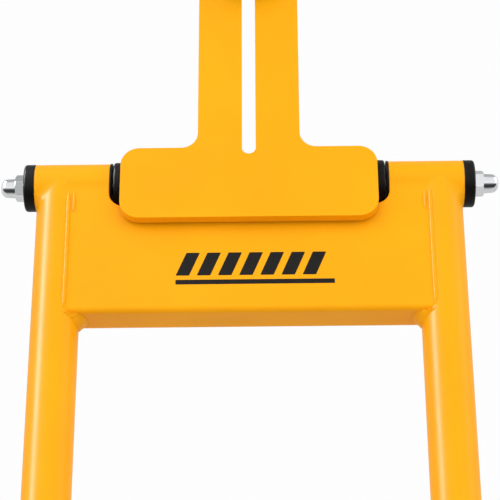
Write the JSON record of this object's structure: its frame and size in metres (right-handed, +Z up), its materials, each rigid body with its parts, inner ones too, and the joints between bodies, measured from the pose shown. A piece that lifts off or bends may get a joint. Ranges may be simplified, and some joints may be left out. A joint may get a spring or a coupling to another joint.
{
  "type": "wheel dolly",
  "caption": "Upright two-wheel dolly with roller tines for lifting a vehicle wheel and a folding, height-adjustable handle hinged on its top crossmember.",
  "frame": {"origin": "on the floor, at the middle of the bounding box's base", "axes": "+X to the dolly's right seen from its user, +Y from the user towards the load, +Z up"},
  "size_m": [0.493, 0.535, 1.5095],
  "materials": {
    "yellow_powder_coat": "satin powder coat",
    "rim_silver": "satin silver",
    "zinc_steel": "bright zinc plate",
    "chrome_nut": "polished",
    "black_nylon": "turned nylon",
    "black_grip": "moulded",
    "tyre_rubber": "moulded tread"
  },
  "bodies": {
    "frame": {"left_upright": "yellow_powder_coat", "right_upright": "yellow_powder_coat", "upper_crossmember": "yellow_powder_coat", "middle_crossbar": "yellow_powder_coat", "lower_crossbar": "yellow_powder_coat", "left_hinge_barrel": "yellow_powder_coat", "right_hinge_barrel": "yellow_powder_coat", "left_axle_bracket": "yellow_powder_coat", "right_axle_bracket": "yellow_powder_coat", "axle_stiffener": "yellow_powder_coat", "left_outer_bush": "black_nylon", "right_outer_bush": "black_nylon", "left_inner_bush": "black_nylon", "right_inner_bush": "black_nylon", "hinge_pin": "zinc_steel", "left_acorn_nut": "chrome_nut", "right_acorn_nut": "chrome_nut", "stop_pads": "black_grip", "wheel_axle": "zinc_steel", "axle_spacers": "zinc_steel", "axle_washers": "zinc_steel", "axle_acorn_nuts": "chrome_nut", "left_tine_foot": "black_nylon", "right_tine_foot": "black_nylon", "tine_inserts": "zinc_steel", "tine_foot_screws": "zinc_steel", "roller_collars": "zinc_steel"},
    "handle_base": {"slotted_plate": "yellow_powder_coat", "centre_barrel": "yellow_powder_coat", "left_centre_bush": "black_nylon", "right_centre_bush": "black_nylon"},
    "handle": {"handle_stem": "yellow_powder_coat", "handle_crossbar": "yellow_powder_coat", "left_grip": "black_grip", "right_grip": "black_grip", "stem_plug": "black_nylon", "clamp_bolts": "zinc_steel", "clamp_washers": "zinc_steel"},
    "upper_knob": {"upper_clamp_knob": "black_nylon", "upper_knob_insert": "zinc_steel"},
    "lower_knob": {"lower_clamp_knob": "black_nylon", "lower_knob_insert": "zinc_steel"},
    "left_wheel": {"left_tyre": "tyre_rubber", "left_rim": "rim_silver", "left_wheel_bearings": "zinc_steel", "left_valve_stem": "black_grip"},
    "right_wheel": {"right_tyre": "tyre_rubber", "right_rim": "rim_silver", "right_wheel_bearings": "zinc_steel", "right_valve_stem": "black_grip"},
    "left_roller": {"left_tine_roller": "zinc_steel", "left_roller_bushes": "black_nylon"},
    "right_roller": {"right_tine_roller": "zinc_steel", "right_roller_bushes": "black_nylon"}
  },
  "joints": [
    {"name": "handle_fold", "type": "hinge", "parent": "frame", "child": "handle_base", "pos_m": [0, -0.0775, 1], "axis": [-1, 0, 0], "range_deg": [0, 178]},
    {"name": "handle_height", "type": "slide", "parent": "handle_base", "child": "handle", "axis": [0, 0, 1], "range_m": [-0.06, 0.04]},
    {"name": "upper_knob_turn", "type": "hinge", "parent": "handle", "child": "upper_knob", "pos_m": [0, -0.1395, 1.265], "axis": [0, -1, 0], "continuous": true},
    {"name": "lower_knob_turn", "type": "hinge", "parent": "handle", "child": "lower_knob", "pos_m": [0, -0.1395, 1.185], "axis": [0, -1, 0], "continuous": true},
    {"name": "left_wheel_spin", "type": "hinge", "parent": "frame", "child": "left_wheel", "pos_m": [-0.191, -0.1675, 0.1], "axis": [1, 0, 0], "continuous": true},
    {"name": "right_wheel_spin", "type": "hinge", "parent": "frame", "child": "right_wheel", "pos_m": [0.191, -0.1675, 0.1], "axis": [1, 0, 0], "continuous": true},
    {"name": "left_roller_spin", "type": "hinge", "parent": "frame", "child": "left_roller", "pos_m": [-0.1375, 0.119, 0.032], "axis": [0, 1, 0], "continuous": true},
    {"name": "right_roller_spin", "type": "hinge", "parent": "frame", "child": "right_roller", "pos_m": [0.1375, 0.119, 0.032], "axis": [0, 1, 0], "continuous": true}
  ]
}
